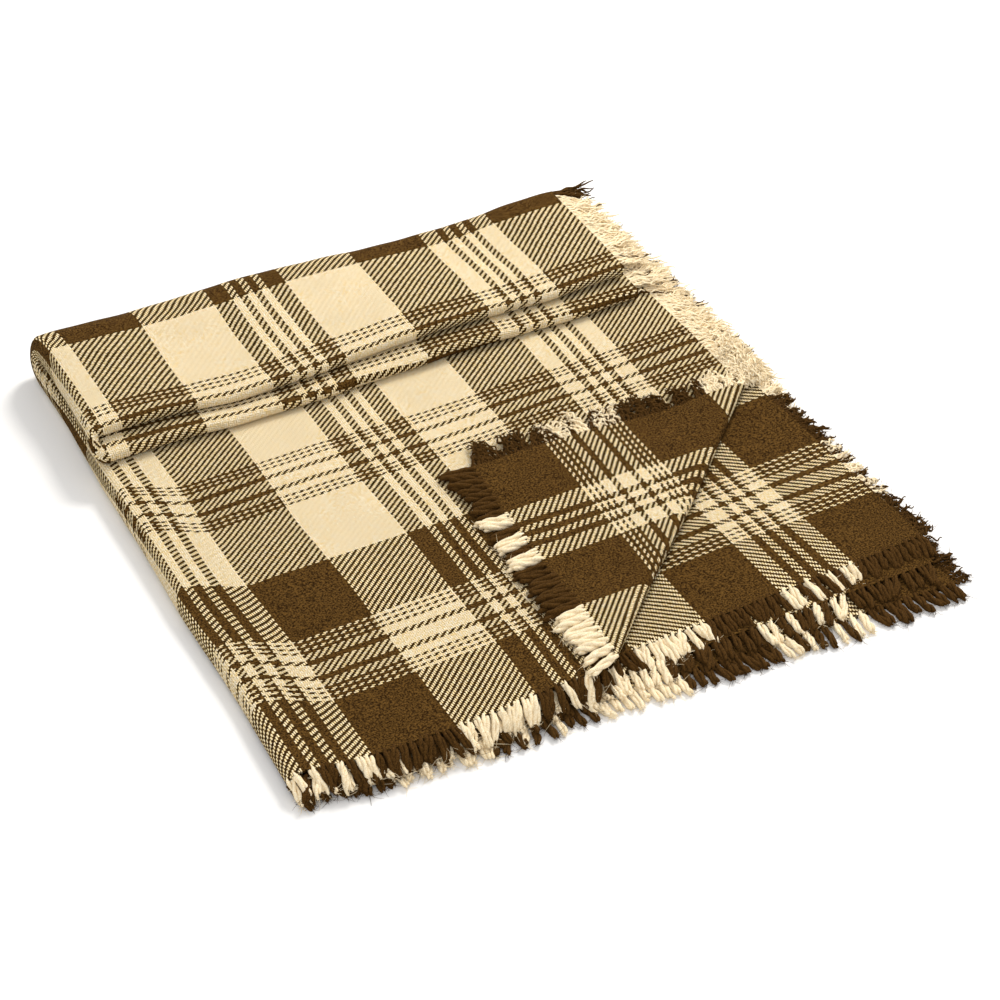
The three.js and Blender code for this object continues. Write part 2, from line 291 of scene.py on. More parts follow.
def place_with_normal(a, t, flap=False):
    a, t = np.asarray(a, float), np.asarray(t, float)
    lo, hi = np.where(t >= 4, 4, 0), np.where(t <= 3, 3, 7)
    ea, et = 2e-3, 2e-3
    a0, a1 = np.clip(a - ea, -2, 1), np.clip(a + ea, -2, 1)
    t0, t1 = np.clip(t - et, 0, 7), np.clip(t + et, 0, 7)
    da = place(a1, t, flap) - place(a0, t, flap)
    dt = place(a, t1, flap) - place(a, t0, flap)
    n = np.cross(da, dt)
    n /= np.maximum(np.linalg.norm(n, axis=1, keepdims=True), 1e-12)
    da /= np.maximum(np.linalg.norm(da, axis=1, keepdims=True), 1e-12)
    dt /= np.maximum(np.linalg.norm(dt, axis=1, keepdims=True), 1e-12)
    return place(a, t, flap), n, da, dt


# -------------------------------------------------------------------------- materials
BROWN = (0.0650, 0.0285, 0.0026, 1)
CREAM = (0.94, 0.80, 0.55, 1)


class Nodes:
    """Short hand for building a node tree."""

    def __init__(self, tree):
        self.tree = tree
        self.x = -1800

    def new(self, kind, **props):
        n = self.tree.nodes.new(kind)
        n.location = (self.x, 0)
        self.x += 20
        for k, v in props.items():
            setattr(n, k, v)
        return n

    def link(self, a, b):
        self.tree.links.new(a, b)

    def put(self, value, socket):
        if hasattr(value, "is_linked"):
            self.link(value, socket)
        else:
            socket.default_value = value

    def math(self, op, a, b=None, c=None, clamp=False):
        n = self.new("ShaderNodeMath", operation=op, use_clamp=clamp)
        for v, s in zip((a, b, c), n.inputs):
            if v is not None:
                self.put(v, s)
        return n.outputs[0]

    def color(self, fac, a, b, blend="MIX"):
        n = self.new("ShaderNodeMix", data_type="RGBA", blend_type=blend)
        self.put(fac, n.inputs[0])
        self.put(a, n.inputs[6])
        self.put(b, n.inputs[7])
        return n.outputs[2]

    def noise(self, vector, scale, detail=2.0, rough=0.5):
        n = self.new("ShaderNodeTexNoise")
        n.inputs["Scale"].default_value = scale
        n.inputs["Detail"].default_value = detail
        n.inputs["Roughness"].default_value = rough
        self.put(vector, n.inputs["Vector"])
        return n.outputs["Fac"]


def wool_bsdf(k, color, height, distance):
    tree = k.tree
    bsdf = k.new("ShaderNodeBsdfPrincipled")
    bsdf.inputs["Roughness"].default_value = 0.92
    bsdf.inputs["Specular IOR Level"].default_value = 0.02
    bsdf.inputs["Sheen Weight"].default_value = 0.02
    bsdf.inputs["Sheen Roughness"].default_value = 0.5
    bsdf.inputs["Sheen Tint"].default_value = (1, 0.80, 0.55, 1)
    k.put(color, bsdf.inputs["Base Color"])
    bump = k.new("ShaderNodeBump")
    bump.inputs["Strength"].default_value = 0.9
    bump.inputs["Distance"].default_value = distance
    k.put(height, bump.inputs["Height"])
    k.link(bump.outputs[0], bsdf.inputs["Normal"])
    out = k.new("ShaderNodeOutputMaterial")
    k.link(bsdf.outputs[0], out.inputs["Surface"])


def stripes(k, coordinate, fold, edges):
    """1 where the yarn is cream: the colour changes at each edge, mirrored by fold."""
    c = k.math("PINGPONG", coordinate, float(fold))
    total = None
    for e in edges:
        s = k.math("GREATER_THAN", c, float(e))
        total = s if total is None else k.math("ADD", total, s)
    return k.math("MODULO", total, 2.0)


WARP_EDGES = [2, 6, 10, 20, 60, 100, 110, 114, 118]  # from the fold: brown first
WEFT_EDGES = [5, 9, 15, 17, 19, 21, 23, 25, 27, 81, 137, 139, 141, 143, 145, 147, 153, 157]


def plaid(name, reverse):
    """2/2 twill: warp and weft stripes in yarn counts, read from the Yarn map."""
    mat = bpy.data.materials.new(name)
    mat.use_nodes = True
    mat.node_tree.nodes.clear()
    k = Nodes(mat.node_tree)
    uv = k.new("ShaderNodeUVMap", uv_map="Yarn").outputs[0]
    # the yarns wander a little, so that no edge of colour is ruled
    wander = k.new("ShaderNodeTexNoise", noise_dimensions="3D")
    wander.inputs["Scale"].default_value = 0.45
    wander.inputs["Detail"].default_value = 2.0
    k.link(uv, wander.inputs["Vector"])
    off = k.new("ShaderNodeVectorMath", operation="SUBTRACT")
    k.link(wander.outputs["Color"], off.inputs[0])
    off.inputs[1].default_value = (0.5, 0.5, 0.5)
    sc = k.new("ShaderNodeVectorMath", operation="SCALE")
    k.link(off.outputs[0], sc.inputs[0])
    sc.inputs["Scale"].default_value = 0.85
    ad = k.new("ShaderNodeVectorMath", operation="ADD")
    k.link(uv, ad.inputs[0])
    k.link(sc.outputs[0], ad.inputs[1])
    sep = k.new("ShaderNodeSeparateXYZ")
    k.link(ad.outputs[0], sep.inputs[0])
    u, v = sep.outputs[0], sep.outputs[1]
    fu, fv = k.math("FLOOR", u), k.math("FLOOR", v)
    warp = stripes(k, k.math("ADD", fu, 0.5), 120, WARP_EDGES)
    weft = stripes(k, k.math("SUBTRACT", k.math("ADD", fv, 0.5), 75.0), 162, WEFT_EDGES)
    weft = k.math("SUBTRACT", 1.0, weft)  # this count starts on a cream yarn
    step = k.math("FLOORED_MODULO", k.math("SUBTRACT", fu, fv), 4.0)
    up = k.math("LESS_THAN", step, 1.5)
    if reverse:
        up = k.math("SUBTRACT", 1.0, up)
    cream = k.math("ADD", k.math("MULTIPLY", up, warp), k.math("MULTIPLY", k.math("SUBTRACT", 1.0, up), weft))
    # each float of yarn is round: highest along its own middle
    pu = k.math("FRACT", u)
    pv = k.math("FRACT", v)
    across_u = k.math("SINE", k.math("MULTIPLY", pu, math.pi))
    across_v = k.math("SINE", k.math("MULTIPLY", pv, math.pi))
    round_ = k.math("ADD", k.math("MULTIPLY", up, across_u), k.math("MULTIPLY", k.math("SUBTRACT", 1.0, up), across_v))
    # felting: fine fibres over everything, thickest where brown crosses brown
    geo = k.new("ShaderNodeTexCoord").outputs["Object"]
    fibre = k.noise(geo, 1300.0, 3.0, 0.7)
    fuzz = k.noise(geo, 600.0, 2.5, 0.7)
    lump = k.noise(geo, 380.0, 2.0, 0.5)
    broad = k.noise(geo, 22.0, 2.0, 0.5)
    spread = k.math("ADD", 0.5, k.math("MULTIPLY", k.math("SUBTRACT", fuzz, 0.5), 4.8), clamp=True)
    b = k.color(spread, (BROWN[0] * 0.28, BROWN[1] * 0.24, BROWN[2] * 0.1, 1), (BROWN[0] * 2.2, BROWN[1] * 2.5, BROWN[2] * 6.0, 1))
    c = k.color(spread, (0.84, 0.625, 0.285, 1), (0.995, 0.915, 0.75, 1))
    # where the colours cross, painted shade leaves a cream float bright only along its middle
    lit = k.math("SUBTRACT", k.math("MULTIPLY", round_, 1.9), 0.35, clamp=True)
    edge = k.math("MULTIPLY", k.math("ABSOLUTE", k.math("SUBTRACT", warp, weft)), k.math("SUBTRACT", 1.0, lit))
    # painted shade: every cream float turns darker gold towards its sides
    c = k.color(k.math("MULTIPLY", k.math("SUBTRACT", 1.0, round_), 0.55), c, (0.70, 0.46, 0.13, 1))
    c = k.color(k.math("MULTIPLY", k.math("ABSOLUTE", k.math("SUBTRACT", warp, weft)), 0.35), c, (0.97, 0.80, 0.40, 1))
    # painted shade: dark brown in the grooves beside each cream float where the colours cross
    c = k.color(edge, c, (0.30, 0.145, 0.015, 1))
    col = k.color(cream, b, c)
    brown_only = k.math("MULTIPLY", k.math("SUBTRACT", 1.0, warp), k.math("SUBTRACT", 1.0, weft))
    differ = k.math("ABSOLUTE", k.math("SUBTRACT", warp, weft))
    # painted shade: brown yarn showing where the colours cross sits lower and is darkened
    painted_sunk_shade = k.math("MULTIPLY", differ, k.math("SUBTRACT", 1.0, cream))
    relief = k.math("SUBTRACT", 1.0, k.math("MULTIPLY", brown_only, 0.8))
    # painted shade and random tone: colour darker towards each float's sides (flatter where brown crosses brown),
    # varied by noise lumps and broad patches
    swell = k.math("ADD", 0.64, k.math("MULTIPLY", relief, k.math("SUBTRACT", round_, 0.64)))
    painted_shade_and_tone = k.math("ADD", 0.66, k.math("MULTIPLY", swell, 0.44))
    painted_shade_and_tone = k.math("ADD", painted_shade_and_tone, k.math("MULTIPLY", k.math("SUBTRACT", lump, 0.5), 0.30))
    painted_shade_and_tone = k.math("ADD", painted_shade_and_tone, k.math("MULTIPLY", k.math("SUBTRACT", broad, 0.5), 0.12))
    # painted shade: darker still on brown yarn where the colours cross
    painted_shade_and_tone = k.math("MULTIPLY", painted_shade_and_tone, k.math("SUBTRACT", 1.0, k.math("MULTIPLY", painted_sunk_shade, 0.35)))
    shade = k.new("ShaderNodeVectorMath", operation="SCALE")
    k.link(col, shade.inputs[0])
    k.link(painted_shade_and_tone, shade.inputs["Scale"])
    height = k.math("ADD", k.math("MULTIPLY", swell, 0.7), k.math("ADD", k.math("MULTIPLY", fibre, 0.5), k.math("MULTIPLY", spread, 0.5)))
    wool_bsdf(k, shade.outputs[0], height, 0.0012)
    return mat


def yarn(name, dark, pale):
    """Loose wool yarn of the fringes."""
    mat = bpy.data.materials.new(name)
    mat.use_nodes = True
    mat.node_tree.nodes.clear()
    k = Nodes(mat.node_tree)
    geo = k.new("ShaderNodeTexCoord").outputs["Object"]
    fibre = k.noise(geo, 900.0, 3.0, 0.7)
    lump = k.noise(geo, 120.0, 2.0, 0.5)
    spread = k.math("ADD", 0.5, k.math("MULTIPLY", k.math("SUBTRACT", fibre, 0.5), 2.6), clamp=True)
    col = k.color(spread, dark, pale)
    shade = k.new("ShaderNodeVectorMath", operation="SCALE")
    k.link(col, shade.inputs[0])
    k.link(k.math("ADD", 0.82, k.math("MULTIPLY", lump, 0.36)), shade.inputs["Scale"])
    height = k.math("ADD", k.math("MULTIPLY", fibre, 0.7), lump)
    wool_bsdf(k, shade.outputs[0], height, 0.0008)
    return mat


MAT_FACE = plaid("plaid_wool_face", False)
MAT_BACK = plaid("plaid_wool_reverse", True)
MAT_BROWN = yarn("fringe_wool_brown", (0.018, 0.0075, 0.0012, 1), (0.108, 0.052, 0.013, 1))
MAT_CREAM = yarn("fringe_wool_cream", (0.74, 0.55, 0.28, 1), (0.985, 0.90, 0.71, 1))


# ------------------------------------------------------------------------ cloth pieces
def grid(av, tv):
    """Points (a, t) and quads of a grid, counterclockwise in (a, t)."""
    na, nt = len(av), len(tv)
    aa, tt = np.meshgrid(av, tv, indexing="ij")
    pts = np.stack([aa.ravel(), tt.ravel()], 1)
    i, j = np.meshgrid(np.arange(na - 1), np.arange(nt - 1), indexing="ij")
    b = (i * nt + j).ravel()
    quads = np.stack([b, b + nt, b + nt + 1, b + 1], 1)
    return pts, [list(q) for q in quads]


def split(pts, polys, field):
    """Cuts a mesh of the (a, t) plane where field changes sign: (below, above)."""
    pts = [tuple(p) for p in pts]
    f = list(field)
    cut = {}
    parts = ([], [])
    for poly in polys:
        s = [f[i] > 0 for i in poly]
        if all(s):
            parts[1].append(poly)
            continue
        if not any(s):
            parts[0].append(poly)
            continue
        two = ([], [])
        n = len(poly)
        for q in range(n):
            i, j = poly[q], poly[(q + 1) % n]
            two[int(f[i] > 0)].append(i)
            if (f[i] > 0) != (f[j] > 0):
                key = (min(i, j), max(i, j))
                if key not in cut:
                    w = f[key[0]] / (f[key[0]] - f[key[1]])
                    p, r = pts[key[0]], pts[key[1]]
                    cut[key] = len(pts)
                    pts.append((p[0] + (r[0] - p[0]) * w, p[1] + (r[1] - p[1]) * w))
                    f.append(0.0)
                two[0].append(cut[key])
                two[1].append(cut[key])
        for side in (0, 1):
            if len(two[side]) >= 3:
                parts[side].append(two[side])

    def used(polys_):
        ids = sorted({i for p in polys_ for i in p})
        at = {i: n for n, i in enumerate(ids)}
        return np.array([pts[i] for i in ids]), [[at[i] for i in p] for p in polys_]

    return used(parts[0]), used(parts[1])


def sheet(name, pts, polys, flap=False):
    """A closed thin solid round the cloth's middle surface, with the yarn counts as a
    UV map, the face of the cloth on one side and its reverse on the other."""
    pos, nrm, _, _ = place_with_normal(pts[:, 0], pts[:, 1], flap)
    n = len(pts)
    thick = HALF * (1 + 0.05 * noise(W6, pos[:, 0] / 60, pos[:, 1] / 60))[:, None]
    low = pos - nrm * thick
    high = pos + nrm * thick
    low[:, 2] = np.maximum(low[:, 2], 0.05)
    high[:, 2] = np.maximum(high[:, 2], 0.05)
    verts = row(np.vstack([high, low]))
    faces = [tuple(p) for p in polys]
    faces += [tuple(i + n for i in reversed(p)) for p in polys]
    count = {}
    for p in polys:
        for q in range(len(p)):
            e = (p[q], p[(q + 1) % len(p)])
            count[e] = 1
    rim = [e for e in count if (e[1], e[0]) not in count]
    faces += [(e[1], e[0], e[0] + n, e[1] + n) for e in rim]
    mesh = bpy.data.meshes.new(name)
    mesh.from_pydata(verts.tolist(), [], faces)
    mesh.materials.append(MAT_FACE)
    mesh.materials.append(MAT_BACK)
    index = np.zeros(len(faces), np.int32)
    index[len(polys) : 2 * len(polys)] = 1
    mesh.polygons.foreach_set("material_index", index)
    mesh.polygons.foreach_set("use_smooth", np.ones(len(faces), bool))
    u, v = yarn_u(pts[:, 0], pts[:, 1]), yarn_v(pts[:, 0], pts[:, 1])
    uv = np.stack([np.tile(u, 2), np.tile(v, 2)], 1)
    layer = mesh.uv_layers.new(name="Yarn")
    loops = np.zeros(len(mesh.loops), np.int32)
    mesh.loops.foreach_get("vertex_index", loops)
    layer.data.foreach_set("uv", uv[loops].astype(np.float32).ravel())
    mesh.update()
    mesh.normals_split_custom_set_from_vertices(np.vstack([nrm, -nrm]).tolist())
    obj = bpy.data.objects.new(name, mesh)
    bpy.context.scene.collection.objects.link(obj)
    return obj


def spaced(lo, hi, count):
    return np.linspace(lo, hi, count + 1)


A_MAIN = np.concatenate([spaced(-2, -1, 110)[:-1], spaced(-1, 0, 18)[:-1], spaced(0, 1, 170)])
A_LEAF = np.concatenate([spaced(-2, -1, 160)[:-1], spaced(-1, 0, 18)[:-1], spaced(0, 1, 110)])
T_MAIN = spaced(0, 1, 190)

pts, polys = grid(A_MAIN, T_MAIN)
flat = cloth(pts[:, 0], pts[:, 1])
field = np.where(pts[:, 0] > 0, past_crease(flat) + 4.0, -100.0)
(main_pts, main_polys), (turn_pts, turn_polys) = split(pts, polys, field)
# the cloth past the crease: first its roll, then the flap
past = past_crease(cloth(turn_pts[:, 0], turn_pts[:, 1]))
(roll_pts, roll_polys), (flap_pts, flap_polys) = split(turn_pts, turn_polys, past - (np.pi * RC + 5.0))

outer = sheet("cloth_outer_stack", main_pts, main_polys)
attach(outer, "stack")
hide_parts("ply_a_main", "ply_d_main", "left_fold_outer")

corner = sheet("cloth_corner_flap", flap_pts, flap_polys, flap=True)
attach(corner, "flap")
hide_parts("corner_flap")

crease_cloth = sheet("cloth_corner_crease", roll_pts, roll_polys, flap=True)
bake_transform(crease_cloth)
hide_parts("crease_roll")

pts, polys = grid(spaced(-2, 1, 240), spaced(6, 7, 130))
inner = sheet("cloth_inner_stack", pts, polys)
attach(inner, "stack")
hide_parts("ply_b_main", "ply_c_main", "left_fold_inner")

t_leaf = np.concatenate([spaced(2, 3, 56)[:-1], spaced(3, 4, 12)[:-1], spaced(4, 5, 40)])
pts, polys = grid(A_LEAF, t_leaf)
leaf = sheet("cloth_leaf", pts, polys)
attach(leaf, "leaf")
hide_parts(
    "leaf_ply_a",
    "leaf_ply_b",
    "leaf_ply_c",
    "leaf_ply_d",
    "leaf_left_fold_outer",
    "leaf_left_fold_inner",
    "ridge_upper_roll",
    "ridge_lower_roll",
)


# the rear bend, in bands that each turn about their own radius
def bend_band(name, av, t0, t1, nodes=()):
    pts_, polys_ = grid(av, spaced(t0, t1, 20))
    o = sheet(name, pts_, polys_)
    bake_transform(o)
    if nodes:
        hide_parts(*nodes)
    return o


def a_part(lo, hi):
    m = (A_LEAF >= lo - 1e-9) & (A_LEAF <= hi + 1e-9)
    return A_LEAF[m]


bend_band("cloth_bend_d", a_part(-2, -1), 1, 2, ["back_fold_d"])
bend_band("cloth_bend_a", a_part(0, 1), 1, 2, ["back_fold_a"])
roll = a_part(-1, 0)
for q in range(3):
    part = roll[q * 6 : q * 6 + 7]
    bend_band(
            f"cloth_bend_left_outer_{q + 1}",
            part,
            1,
            2,
            ["back_left_corner_outer"] if q == 0 else (),
        )
bend_band("cloth_bend_c", a_part(-2, -1)[::2], 5, 6, ["back_fold_c"])
bend_band("cloth_bend_b", a_part(0, 1), 5, 6, ["back_fold_b"])
bend_band("cloth_bend_left_inner", a_part(-1, 0), 5, 6, ["back_left_corner_inner"])


# ----------------------------------------------------------------------------- fringes
class Strands:
    """Many tubes in one mesh."""

    def __init__(self):
        self.v, self.f, self.m = [], [], []
        self.n = 0

    def add(self, path, radius, sides, material):
        """path (strands, points, 3), radius (strands, points), material per strand."""
        s, k, _ = path.shape
        tan = np.gradient(path, axis=1)
        tan /= np.maximum(np.linalg.norm(tan, axis=2, keepdims=True), 1e-9)
        up = np.zeros_like(tan)
        up[..., 2] = 1
        side = np.cross(tan, up)
        ln = np.linalg.norm(side, axis=2, keepdims=True)
        side = np.where(ln > 0.05, side / np.maximum(ln, 1e-9), np.array([1.0, 0, 0]))
        over = np.cross(side, tan)
        ang = np.arange(sides) / sides * 2 * np.pi
        ring = (
            path[:, :, None, :]
            + radius[:, :, None, None]
            * (
                np.cos(ang)[None, None, :, None] * side[:, :, None, :]
                + np.sin(ang)[None, None, :, None] * over[:, :, None, :]
            )
        )
        ring[..., 2] = np.clip(ring[..., 2], 0.05, 58.0)
        self.v.append(ring.reshape(-1, 3))
        base = self.n + np.arange(s)[:, None, None] * k * sides
        i = np.arange(k - 1)[None, :, None] * sides
        j = np.arange(sides)[None, None, :]
        jn = (j + 1) % sides
        a = base + i + j
        b = base + i + jn
        quads = np.stack([a, b, b + sides, a + sides], -1).reshape(-1, 4)
        self.f.append(("q", quads))
        self.m.append(np.repeat(material, (k - 1) * sides))
        first = (self.n + np.arange(s)[:, None] * k * sides) + np.arange(sides)[None, ::-1]
        last = (self.n + np.arange(s)[:, None] * k * sides + (k - 1) * sides) + np.arange(sides)[None, :]
        self.f.append(("c", first))
        self.m.append(np.asarray(material))
        self.f.append(("c", last))
        self.m.append(np.asarray(material))
        self.n += s * k * sides

    def build(self, name):
        verts = row(np.vstack(self.v))
        faces = []
        for _, f in self.f:
            faces += f.tolist()
        mesh = bpy.data.meshes.new(name)
        mesh.from_pydata(verts.tolist(), [], faces)
        mesh.materials.append(MAT_BROWN)
        mesh.materials.append(MAT_CREAM)
        mesh.polygons.foreach_set("material_index", np.concatenate(self.m).astype(np.int32))
        mesh.polygons.foreach_set("use_smooth", np.ones(len(faces), bool))
        mesh.update()
        obj = bpy.data.objects.new(name, mesh)
        bpy.context.scene.collection.objects.link(obj)
        return obj


def is_cream_warp(u):
    c = 120 - np.abs((np.abs(u) % 240) - 120)
    return (np.sum(c[:, None] > np.array(WARP_EDGES)[None, :], axis=1) % 2).astype(int)


def is_cream_weft(v):
    c = 162 - np.abs((np.abs(v - 75) % 324) - 162)
    return 1 - (np.sum(c[:, None] > np.array(WEFT_EDGES)[None, :], axis=1) % 2).astype(int)


def soften(x, n):
    k = np.hanning(n + 2)[1:-1]
    return np.convolve(np.pad(x, n, mode="edge"), k / k.sum(), mode="same")[n:-n]


BOW = np.linspace(0, math.radians(88), 60)


def hang(drop, length, s):
    """A strand that leaves level and bows down: its share of length along and down."""
    th = BOW[:, None] * smooth(s * 1.5)[None, :]
    step = np.diff(s, prepend=s[0])
    along = np.cumsum(np.cos(th) * step, 1)
    down = np.cumsum(np.sin(th) * step, 1)
    want = np.clip(drop / length, 0, down[-1, -1])
    at = np.interp(want, down[:, -1], np.arange(len(BOW)))
    i = np.clip(at.astype(int), 0, len(BOW) - 2)
    w = (at - i)[:, None]
    return along[i] * (1 - w) + along[i + 1] * w, down[i] * (1 - w) + down[i + 1] * w


def hairs(st, path, out, side, rng, first, rounds, size, radius, colour):
    """Loose fibres standing off the strands."""
    n, k, _ = path.shape
    for _ in range(rounds):
        j = rng.integers(first, k, n)
        start = path[np.arange(n), j] + rng.normal(0, 0.7, (n, 3))
        d = out * rng.uniform(0.1, 1.0, n)[:, None] + side * rng.normal(0, 0.8, n)[:, None]
        d[:, 2] += rng.normal(0, 0.45, n)
        bend = rng.normal(0, 0.7, (n, 3))
        h = rng.uniform(size[0], size[1], n)[:, None, None]
        q = np.linspace(0, 1, 5)[None, :, None]
        hair = start[:, None, :] + h * (d[:, None, :] * q + bend[:, None, :] * q * q)
        hair[:, :, 2] = np.maximum(hair[:, :, 2], 0.5)
        st.add(hair, np.full((n, 5), radius) * np.array([1, 1, 1, 0.8, 0.4])[None, :], 3, colour)


def thick_row(st, a_line, t, rng, support, flap=False, lo=None, hi=None, every=4.0, big=1.1, long=28.0):
    """Soft two-ply tassels along a warp end, one for every few ends."""
    av = np.linspace(a_line[0], a_line[1], 900)
    uu = yarn_u(av, np.full(900, t))
    order = np.argsort(uu)
    targets = np.arange(math.ceil(uu.min() / every) * every + every / 2, uu.max(), every)
    a = np.interp(targets, uu[order], av[order])
    cream = is_cream_warp(targets)
    tt = np.full(len(a), float(t))
    pos, nrm, da, dt = place_with_normal(a, tt, flap)
    out = -dt if t < 3.5 else dt
    if lo is not None:
        raw = cloth(a, tt)
        keep = (raw[:, 0] >= lo) & (raw[:, 0] <= hi)
        pos, nrm, da, out, cream, a = (x[keep] for x in (pos, nrm, da, out, cream, a))
    n = len(pos)
    if n == 0:
        return
    side = np.cross(np.array([[0, 0, 1.0]]), out)
    side /= np.maximum(np.linalg.norm(side, axis=1, keepdims=True), 1e-9)
    flat_out = out.copy()
    flat_out[:, 2] = 0
    flat_out /= np.maximum(np.linalg.norm(flat_out, axis=1, keepdims=True), 1e-9)
    length = rng.normal(long, long * 0.07, n).clip(long * 0.8, long * 1.2)
    lean = soften(rng.normal(0, 0.22, n), 4) + rng.normal(0, 0.06, n)
    curl = rng.normal(0, 0.09, n)
    k = 20
    s = np.linspace(0, 1, k)
    rest = np.broadcast_to(np.asarray(support, float), (n,)) + rng.uniform(-0.4, 1.4, n)
    go, down = hang(pos[:, 2] - rest, length, s)
    L = length[:, None]
    path = (
        pos[:, None, :]
        - flat_out[:, None, :] * 3.0
        + flat_out[:, None, :] * (L * go)[:, :, None]
        + side[:, None, :] * (L * (lean[:, None] * s[None, :] + curl[:, None] * s[None, :] ** 2))[:, :, None]
    )
    path[:, :, 2] = np.maximum(pos[:, 2:3] - L * down, 2.6 * big)
    # three soft plies wound loosely round each other
    turn = rng.uniform(0, 2 * np.pi, n)[:, None] + np.linspace(0, 2 * np.pi, k)[None, :] * rng.uniform(0.25, 0.8, n)[:, None]
    fat = big * rng.uniform(0.88, 1.12, n)[:, None] * np.where(cream == 1, 1.0, 1.06)[:, None]
    prof = np.interp(s, [0, 0.08, 0.35, 0.8, 0.94, 1], [0.85, 0.95, 1, 1.02, 0.85, 0.4])[None, :]
    lump = 1 + 0.07 * np.sin(rng.uniform(0, 6.28, n)[:, None] + s[None, :] * rng.uniform(9, 18, n)[:, None])
    for q in range(3):
        ph = q * 2 * np.pi / 3
        tip = rng.uniform(0.86, 1.04, n)[:, None, None]
        p = path[:, :1] + (path - path[:, :1]) * tip
        p += side[:, None, :] * (1.85 * fat * np.cos(turn + ph))[:, :, None]
        p[:, :, 2] += 1.25 * (fat * np.sin(turn + ph))
        p += side[:, None, :] * (0.35 * np.sin(rng.uniform(0, 6.28, n)[:, None] + s[None, :] * 11))[:, :, None]
        st.add(p, 1.72 * fat * prof * lump, 8, cream)
        hairs(st, p, flat_out, side, rng, 3, 12, (1.2, 3.8), 0.19, cream)
    hairs(st, path, flat_out, side, rng, 15, 7, (3, 7), 0.17, cream)


def reach(y):
    """Length of the side fringe: drawn in short near the front right corner."""
    return np.interp(y, [-960, -740, -640, -560, -269], [19, 21, 25, 35, 38])


def fine_row(st, a, t_line, rng, support, flap=False, long=1.0, ylim=None, pitch=1.25, curl=1.25, fat=1.0, pale=None):
    """Loose wavy yarns along a side edge, one for each pick or so, in soft locks."""
    tv = np.linspace(t_line[0], t_line[1], 1200)
    av = np.full(1200, float(a))
    p = place(av, tv, flap)
    arc = np.concatenate([[0], np.cumsum(np.linalg.norm(np.diff(p, axis=0), axis=1))])
    n = int(arc[-1] / pitch)
    at = (np.arange(n) + rng.uniform(0.1, 0.9, n)) / n * arc[-1]
    t = np.interp(at, arc, tv)
    aa = np.full(n, float(a))
    cream = is_cream_weft(yarn_v(aa, t))
    pos, nrm, da, dt = place_with_normal(aa, t, flap)
    if pale:  # a stretch where nearly every loose yarn is cream
        cream = np.where((pos[:, 1] > pale) & (rng.uniform(0, 1, n) < 0.9), 1, cream)
    if ylim is not None:
        keep = ylim(cloth(aa, t))
        pos, nrm, da, dt, cream, at = (x[keep] for x in (pos, nrm, da, dt, cream, at))
        n = len(pos)
        if n == 0:
            return
    out = da if a > 0 else -da
    along = dt / np.maximum(np.linalg.norm(dt, axis=1, keepdims=True), 1e-9)
    length = (reach(pos[:, 1]) if not flap else np.full(n, 27.0)) * long
    length = length * (1 + 0.10 * soften(rng.normal(0, 1, n), 9) * 3 + rng.uniform(-0.12, 0.12, n))
    # locks: neighbours lean together
    lock = np.floor(at / 8.0).astype(int)
    lock -= lock.min()
    gather = (np.floor(at / 8.0) * 8.0 + 4.0) - at
    lean = rng.normal(0, 0.26, lock.max() + 1)[lock] + rng.normal(0, 0.10, n)
    k = 22
    s = np.linspace(0, 1, k)
    L = length[:, None]
    slide = gather[:, None] * 0.6 * smooth(s * 1.4)[None, :] + L * lean[:, None] * (s**1.4)[None, :]
    wave_n = rng.uniform(1.2, 3.0, n)[:, None] * (0.7 + 0.3 * curl)
    ph = rng.uniform(0, 2 * np.pi, n)[:, None]
    amp = curl * rng.uniform(0.6, 1.7, n)[:, None] * np.clip(s * 3, 0, 1)[None, :]
    wav = amp * np.sin(2 * np.pi * wave_n * s[None, :] + ph)
    wz = amp * 0.8 * np.cos(2 * np.pi * wave_n * s[None, :] * 1.1 + ph * 1.7)
    path = (
        pos[:, None, :]
        + out[:, None, :] * (L * s[None, :] - 1.5)[:, :, None]
        + along[:, None, :] * (slide + wav)[:, :, None]
    )
    rest = (support(pos) if callable(support) else np.full(n, float(support))) + rng.uniform(-1.0, 3.0, n)
    sag = smooth(s * 1.1)[None, :]
    z = pos[:, 2:3] + rng.uniform(-1.5, 1.5, n)[:, None] * (1 - s)[None, :] + (rest - pos[:, 2])[:, None] * sag + wz
    path[:, :, 2] = np.maximum(z, 1.2)
    rad = fat * rng.uniform(0.7, 1.1, n)[:, None] * np.interp(s, [0, 0.1, 0.8, 1], [0.9, 1.05, 0.95, 0.5])[None, :]
    st.add(path, rad, 6, cream)
    hairs(st, path, out, along, rng, 3, 3, (2, 5.5), 0.15, cream)


crease_x = (CREASE - YF * CN[1]) / CN[0]  # where the crease meets the front edge
crease_y = (CREASE - 594.0 * CN[0]) / CN[1]  # where it meets the right edge


def fringe(name, body, nodes, fill, blend_to=None):
    st = Strands()
    fill(st)
    o = st.build(name)
    if blend_to:
        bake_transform(o)
    else:
        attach(o, body)
    if nodes:
        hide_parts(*nodes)
    return o


def R(seed):
    return np.random.default_rng(seed)


fringe("tassels_front_a", "stack", ["front_fringe_a"],
       lambda st: thick_row(st, (0.0, 1.0), 0.0, R(21), 6.5, lo=-30, hi=crease_x + 2))
fringe("tassels_front_d", "stack", ["front_fringe_d"],
       lambda st: thick_row(st, (-2.0, -0.02), 0.0, R(22), 2.6))
fringe("tassels_front_b", "stack", ["front_fringe_b"],
       lambda st: thick_row(st, (0.0, 1.0), 7.0, R(23), 8.0))
fringe("tassels_front_c", "stack", ["front_fringe_c"],
       lambda st: thick_row(st, (-2.0, -0.05), 7.0, R(24), 5.0))
fringe("tassels_flap", "flap", ["flap_front_fringe"],
       lambda st: thick_row(st, (0.0, 1.0), 0.0, R(25), 27.6, flap=True, lo=crease_x + 12, hi=700, every=5.0, big=1.35, long=33.0))


